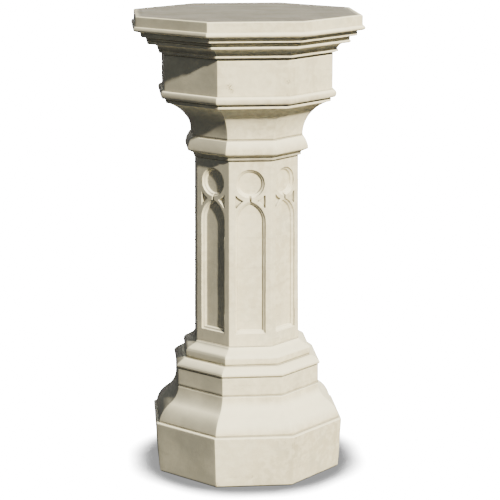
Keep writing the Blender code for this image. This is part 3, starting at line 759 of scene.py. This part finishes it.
def sunk_cutter(name, outline_at, section, face):
    """A cutter for one shaft face, lofted through its (inset, depth) section."""
    angle = math.tau * face / FACES
    turn = Matrix.Rotation(angle, 4, "Z")
    rings = []
    for inset, depth in section:
        rings.append([turn @ Vector((x, depth - face_reach(z), z)) for x, z in outline_at(inset)])
    count = len(rings[0])
    vertices = [v for ring in rings for v in ring]
    faces = [tuple(range(count)), tuple(range((len(rings) - 1) * count, len(rings) * count))]
    for i in range(len(rings) - 1):
        for j in range(count):
            k = (j + 1) % count
            faces.append((i * count + j, i * count + k, (i + 1) * count + k, (i + 1) * count + j))
    return mesh_object(name, vertices, faces)


def shaft_blank():
    """The plain shaft, solid and closed flat at both ends."""
    foot, head, widest = span("shaft")
    core, core_limit = 0.0020, 0.0025
    outline = [(face_reach(head), head), (widest, foot)]
    rings = [ring_at(octagon_section(a, 0.0020), z) for a, z in outline]
    caps = [ring_at(octagon_section(core, 0.0002), z) for z in (foot, head)]
    shaft = stacked("shaft_stone", rings + caps)
    bm = bmesh.new()
    bm.from_mesh(shaft.data)
    middle = [f for f in bm.faces if max(math.hypot(v.co.x, v.co.y) for v in f.verts) <= core_limit]
    bmesh.ops.delete(bm, geom=middle, context="FACES")
    bmesh.ops.holes_fill(bm, edges=[e for e in bm.edges if e.is_boundary], sides=0)
    bmesh.ops.recalc_face_normals(bm, faces=bm.faces)
    bm.to_mesh(shaft.data)
    bm.free()
    return shaft


def build_shaft():
    """The panelled shaft: cut crisply, then softened all over like a cast from an old mould."""
    levels = shaft_levels()
    foot, head, _ = span("shaft")
    shaft = shaft_blank()
    sinkings = [
        ("slot", lambda inset: slot_outline(levels), SLOT_SECTION),
        ("roundel", lambda inset: roundel_outline(inset, levels), PANEL_SECTION),
        ("lancet", lambda inset: lancet_outline(inset, levels), PANEL_SECTION),
        ("left", lambda inset: spandrel_outline(inset, levels, -1), SPANDREL_SECTION),
        ("right", lambda inset: spandrel_outline(inset, levels, 1), SPANDREL_SECTION),
    ]
    for face in range(FACES):
        boolean_cut(shaft, [sunk_cutter(*sinking, face) for sinking in sinkings])
    remesh = shaft.modifiers.new("cast", "REMESH")
    remesh.mode = "VOXEL"
    remesh.voxel_size = 0.00075
    smooth = shaft.modifiers.new("soften", "SMOOTH")
    smooth.factor = 0.5
    smooth.iterations = 2
    thin = shaft.modifiers.new("thin", "DECIMATE")
    thin.ratio = 0.13
    bpy.context.view_layer.update()
    apply_modifiers(shaft)
    weather(shaft, 15, 0.0007, 0.060)
    above, below = head + 0.01, foot - 0.01
    bore_outline = [(0.0, above), (BORE_RADIUS, above), (BORE_RADIUS, below), (0.0, below)]
    boolean_cut(shaft, [turned("bore", bore_outline, 48)])
    shaft.data.shade_smooth()
    finish_piece(shaft, "font", STONE, "cast_stone", "shaft")


# ---------------------------------------------------------------- drain and cover fittings
def build_liner():
    """The spun metal basin, with a lip turned out over the rim course's ledge."""
    low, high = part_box("basin_liner")
    inner = list(reversed(basin_curve(0.0)))
    outer = basin_curve(BASIN_METAL)
    rolled = 0.0030
    lip = arc((BASIN_WALL + rolled, high.z - rolled), rolled, 180.0, 90.0, 6)
    outline = [(WASTE_HOLE, low.z + BASIN_METAL), *inner, *lip,
               (high.x - 0.0006, high.z), (high.x, high.z - 0.0006),
               (high.x, high.z - BASIN_METAL), (BASIN_WALL + 0.0040, high.z - BASIN_METAL),
               (BASIN_WALL + BASIN_METAL, high.z - 0.0045), *outer, (WASTE_HOLE, low.z)]
    piece = turned_ring("basin_liner_bowl", outline, 128)
    finish_piece(piece, "font", STAINLESS, "stainless_steel", "basin_liner")


def ring_outline(node, hole, corner=0.0004):
    """A plain washer or tube with eased corners, the size of its CAD node."""
    low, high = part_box(node)
    return [(hole + corner, high.z), (high.x - corner, high.z), (high.x, high.z - corner),
            (high.x, low.z + corner), (high.x - corner, low.z), (hole + corner, low.z),
            (hole, low.z + corner), (hole, high.z - corner)]


def thread(radius, top, pitch, depth, turns):
    """The zigzag side of a screw thread, downwards from its top."""
    points = []
    for i in range(turns):
        z = top - pitch * i
        points += [(radius, z), (radius - depth, z - pitch / 2)]
    return points


def build_drain():
    """The drain fitting through the bowl's floor, and the pipe below it."""
    pipe_bore = 0.0190
    for node in ("waste_gasket", "waste_washer", "pipe_joint_ring"):
        piece = turned_ring(node + "_ring", ring_outline(node, WASTE_HOLE))
        finish_piece(piece, "font", RUBBER, "rubber", node)
    pipe = turned_ring("drain_pipe_tube", ring_outline("drain_pipe", pipe_bore))
    finish_piece(pipe, "font", COPPER, "copper", "drain_pipe")

    low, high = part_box("waste_outlet")
    bore, tube = 0.0135, 0.0160
    flange = high.z - 0.0030
    seat = arc((bore + 0.0020, high.z - 0.0020), 0.0020, 180.0, 90.0, 5)
    edge = arc((high.x - 0.0022, high.z - 0.0022), 0.0022, 80.0, 0.0, 5)
    turns = thread(tube, flange - 0.0080, 0.0015, 0.0006, 24)
    outline = [*seat, *edge, (high.x, flange), (tube, flange), *turns, (tube, low.z), (bore, low.z)]
    outlet = turned_ring("waste_outlet_body", outline)
    finish_piece(outlet, "font", PLATED, "plated_brass", "waste_outlet")

    nut = build_backnut()
    finish_piece(nut, "font", BRASS, "brass", "waste_backnut")


def build_backnut():
    """A six-sided nut with eased edges and a round hole."""
    low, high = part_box("waste_backnut")
    flats, hole = 0.0234, 0.0183
    inset, ease = 0.0004, 0.0008
    outline = [(flats - inset, high.z), (flats, high.z - ease),
               (flats, low.z + ease), (flats - inset, low.z)]
    rings = []
    for reach, z in outline:
        half = reach * math.tan(math.pi / 6)
        points = []
        for side in range(6):
            angle = math.tau * side / 6 + math.pi / 6
            out = np.array([math.cos(angle), math.sin(angle)])
            along = np.array([-math.sin(angle), math.cos(angle)])
            points += [out * reach + along * half * (2 * i / 8 - 1) for i in range(8)]
        rings.append(ring_at(np.array(points), z))
    angles = np.arctan2(rings[0][:, 1], rings[0][:, 0])
    inside = np.column_stack([hole * np.cos(angles), hole * np.sin(angles)])
    rings += [ring_at(inside, low.z), ring_at(inside, high.z)]
    nut = stacked("waste_backnut_body", rings)
    nut.data.set_sharp_from_angle(angle=math.radians(30))
    return nut


def build_plug():
    """The plug that lifts out of the waste, with its rubber ring and its ball knob."""
    low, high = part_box("drain_plug")
    head = high.z
    core = 0.0085
    disc = head - 0.0025
    groove = disc - 0.0075
    dome = [(0.0, head), (0.0065, head), (0.0110, head - 0.0002), (0.0150, head - 0.0006),
            (0.0168, head - 0.0012), (0.0175, head - 0.0019)]
    under = [(0.0175, disc), (core, disc), (core, groove), (0.0115, groove), (0.0105, low.z + 0.0006),
             (0.0100, low.z), (0.0, low.z)]
    plug = turned("drain_plug_body", [*dome, *under])
    finish_piece(plug, "plug", PLATED, "plated_brass", "drain_plug")

    low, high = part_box("plug_seal")
    middle = (low.z + high.z) / 2
    half = (high.z - low.z) / 2
    shares = (1.0, 0.6, 0.3, 0.0, -0.3, -0.6, -1.0)
    lip = [(high.x - 0.0009 * abs(t) ** 1.5, middle + half * t) for t in shares]
    seal = turned_ring("plug_seal_ring", [(core + CLEAR, high.z), *lip, (core + CLEAR, low.z)])
    finish_piece(seal, "plug", RUBBER, "rubber", "plug_seal")

    low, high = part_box("plug_knob")
    ball = arc((0.0, high.z - 0.0075), 0.0074, 88.0, -52.0, 20)
    stem = [(0.0034, low.z + 0.0068), (0.0031, low.z + 0.0050), (0.0034, low.z + 0.0032),
            (0.0048, low.z + 0.0016), (0.0060, low.z + 0.0006), (0.0060, low.z)]
    knob = turned("plug_knob_ball", [(0.0, high.z), *ball, *stem, (0.0, low.z)])
    finish_piece(knob, "plug", BRASS, "brass", "plug_knob")


def build_cover_fittings():
    """Under the cover: the rubber ring it rests on, and the screwed ring that centres it."""
    low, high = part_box("cover_seal")
    reach, width = high.y, 0.0120
    corner = 0.0003
    outline = [(reach - corner, high.z), (reach, high.z - corner), (reach, low.z + corner),
               (reach - corner, low.z), (reach - width, low.z), (reach - width, high.z)]
    rings = [ring_at(octagon_section(a, 0.0020), z) for a, z in outline]
    finish_piece(stacked("cover_seal_ring", rings), "cover", RUBBER, "rubber", "cover_seal")

    low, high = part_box("cover_spigot")
    hole = high.x - 0.0160
    outline = [(hole, high.z), (high.x, high.z), (high.x, low.z + 0.0018),
               (high.x - 0.0006, low.z + 0.0006), (high.x - 0.0018, low.z),
               (hole + 0.0006, low.z), (hole, low.z + 0.0006)]
    spigot = turned_ring("cover_spigot_ring", outline, 160)
    screws = [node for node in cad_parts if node.startswith("spigot_screw_")]
    shank, head, past = 0.0025, 0.0048, 0.0010
    sink_outline = [(0.0, high.z + past), (shank, high.z + past), (shank, low.z + head - shank),
                    (head, low.z), (head, low.z - past), (0.0, low.z - past)]
    sinks = []
    for node in screws:
        screw_low, screw_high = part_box(node)
        centre = ((screw_low.x + screw_high.x) / 2, (screw_low.y + screw_high.y) / 2)
        sinks.append(turned("sink", sink_outline, 32, centre))
    boolean_cut(spigot, sinks)
    spigot.data.shade_smooth()
    spigot.data.set_sharp_from_angle(angle=math.radians(40))
    finish_piece(spigot, "cover", BRASS, "brass", "cover_spigot")
    for node in screws:
        finish_piece(build_screw(node), "cover", STAINLESS, "stainless_steel", node)


def build_screw(node):
    """A countersunk slotted screw, head downwards."""
    low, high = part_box(node)
    centre = ((low.x + high.x) / 2, (low.y + high.y) / 2)
    head, shank = (high.x - low.x) / 2, 0.0022
    turns = thread(shank, high.z - 0.0006, 0.0007, 0.0003, 20)
    outline = [(0.0, high.z), (shank - 0.0006, high.z), *turns,
               (shank, low.z + head - shank + 0.0004),
               (head, low.z + 0.0003), (head - 0.0002, low.z), (0.0, low.z)]
    screw = turned(node + "_turned", outline, 24, centre)
    slot = bpy.data.objects.new("slot", bpy.data.meshes.new("slot"))
    bm = bmesh.new()
    bmesh.ops.create_cube(bm, size=1.0)
    bmesh.ops.scale(bm, vec=(head * 3, 0.0009, 0.0016), verts=bm.verts)
    bmesh.ops.translate(bm, vec=(centre[0], centre[1], low.z), verts=bm.verts)
    bm.to_mesh(slot.data)
    bm.free()
    bpy.context.scene.collection.objects.link(slot)
    boolean_cut(screw, [slot])
    screw.data.set_sharp_from_angle(angle=math.radians(35))
    return screw


def dress_dowels():
    """The dowels are plain pins, so they stay as the CAD has them."""
    for node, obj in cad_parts.items():
        if node.startswith("dowel_"):
            obj.data.materials.clear()
            obj.data.materials.append(STAINLESS)


# ---------------------------------------------------------------- floor, light and camera
def build_floor():
    """A plain pale floor that fades into the background: it glows white to the camera, with a painted
    contact shadow where the plinth meets it, and is dark grey to all other rays.
    """
    mesh = bpy.data.meshes.new("floor")
    half = 40.0
    floor_z = CAD_BOX[0][2]
    mesh.from_pydata([(-half, -half, floor_z), (half, -half, floor_z), (half, half, floor_z),
                      (-half, half, floor_z)], [], [(0, 1, 2, 3)])
    floor = bpy.data.objects.new("floor", mesh)
    bpy.context.scene.collection.objects.link(floor)
    material = bpy.data.materials.new("pale_floor")
    material.use_nodes = True
    tree = material.node_tree
    tree.nodes.clear()
    out = tree.nodes.new("ShaderNodeOutputMaterial")
    mix = tree.nodes.new("ShaderNodeMixShader")
    path = tree.nodes.new("ShaderNodeLightPath")
    grey = tree.nodes.new("ShaderNodeBsdfDiffuse")
    grey.inputs["Color"].default_value = rgb(0.066, 0.074, 0.090)
    white = tree.nodes.new("ShaderNodeEmission")
    # Painted contact shadow: the glow is dimmed where ambient occlusion finds the plinth close by.
    shade = tree.nodes.new("ShaderNodeAmbientOcclusion")
    shade_reach, falloff, open_glow, contact_glow = 0.080, 4.0, 22.0, 0.38
    shade.inputs["Distance"].default_value = shade_reach
    shade.samples = 16
    level = tree.nodes.new("ShaderNodeMapRange")
    level.inputs["From Min"].default_value = 0.56
    level.inputs["From Max"].default_value = 0.98
    fade = tree.nodes.new("ShaderNodeMath")
    fade.operation = "POWER"
    fade.inputs[1].default_value = falloff
    strength = tree.nodes.new("ShaderNodeMath")
    strength.operation = "MULTIPLY_ADD"
    strength.inputs[1].default_value = open_glow
    strength.inputs[2].default_value = contact_glow
    tree.links.new(shade.outputs["AO"], level.inputs["Value"])
    tree.links.new(level.outputs["Result"], fade.inputs[0])
    tree.links.new(fade.outputs[0], strength.inputs[0])
    tree.links.new(strength.outputs[0], white.inputs["Strength"])
    tree.links.new(path.outputs["Is Camera Ray"], mix.inputs["Fac"])
    tree.links.new(grey.outputs[0], mix.inputs[1])
    tree.links.new(white.outputs[0], mix.inputs[2])
    tree.links.new(mix.outputs[0], out.inputs["Surface"])
    mesh.materials.append(material)


SUN_RIGHT = 26.0             # degrees to the right of the front face's normal
SUN_UP = 31.0


def add_sun(name, towards, energy, spread, color):
    """A sun in the direction that towards points; spread is its width in degrees."""
    data = bpy.data.lights.new(name, "SUN")
    data.energy = energy
    data.angle = math.radians(spread)
    data.color = color
    sun = bpy.data.objects.new(name, data)
    sun.rotation_euler = towards.to_track_quat("Z", "Y").to_euler()
    bpy.context.scene.collection.objects.link(sun)


def build_light():
    """A low key from the front right, with soft fills from the left and from behind."""
    side, up = math.radians(SUN_RIGHT), math.radians(SUN_UP)
    to_key = Vector((math.sin(side) * math.cos(up), -math.cos(side) * math.cos(up), math.sin(up)))
    add_sun("key", to_key, 12.2, 2.5, (1.0, 0.945, 0.76))
    add_sun("left_fill", Vector((-0.85, -0.45, 0.25)), 0.60, 60.0, (0.92, 0.96, 1.0))
    add_sun("back_fill", Vector((0.12, 1.0, 0.05)), 3.6, 40.0, (1.0, 0.97, 0.92))
    world = bpy.data.worlds.new("studio")
    world.use_nodes = True
    background = world.node_tree.nodes["Background"]
    background.inputs["Color"].default_value = rgb(0.74, 0.87, 1.0)
    background.inputs["Strength"].default_value = 0.105
    bpy.context.scene.world = world


def build_camera():
    """A long lens, a little above the cover, seeing the front face from its left."""
    distance, lift = 3.759 * HEIGHT, 1.3283 * HEIGHT
    turn, pan, pitch = math.radians(4.94), math.radians(5.075), math.radians(12.744)
    data = bpy.data.cameras.new("camera")
    data.sensor_width = 36.0
    data.lens = 126.1
    data.clip_end = 200.0
    camera = bpy.data.objects.new("camera", data)
    camera.location = (-distance * math.sin(turn), -distance * math.cos(turn), CAD_BOX[0][2] + lift)
    camera.rotation_euler = (math.pi / 2 - pitch, 0.0, -pan)
    bpy.context.scene.collection.objects.link(camera)
    bpy.context.scene.camera = camera


build_courses()
build_capital()
build_bowl()
build_cover_slab()
build_beds()
build_shaft()
build_liner()
build_drain()
build_plug()
build_cover_fittings()
dress_dowels()
build_floor()
build_light()
build_camera()

bpy.context.view_layer.update()
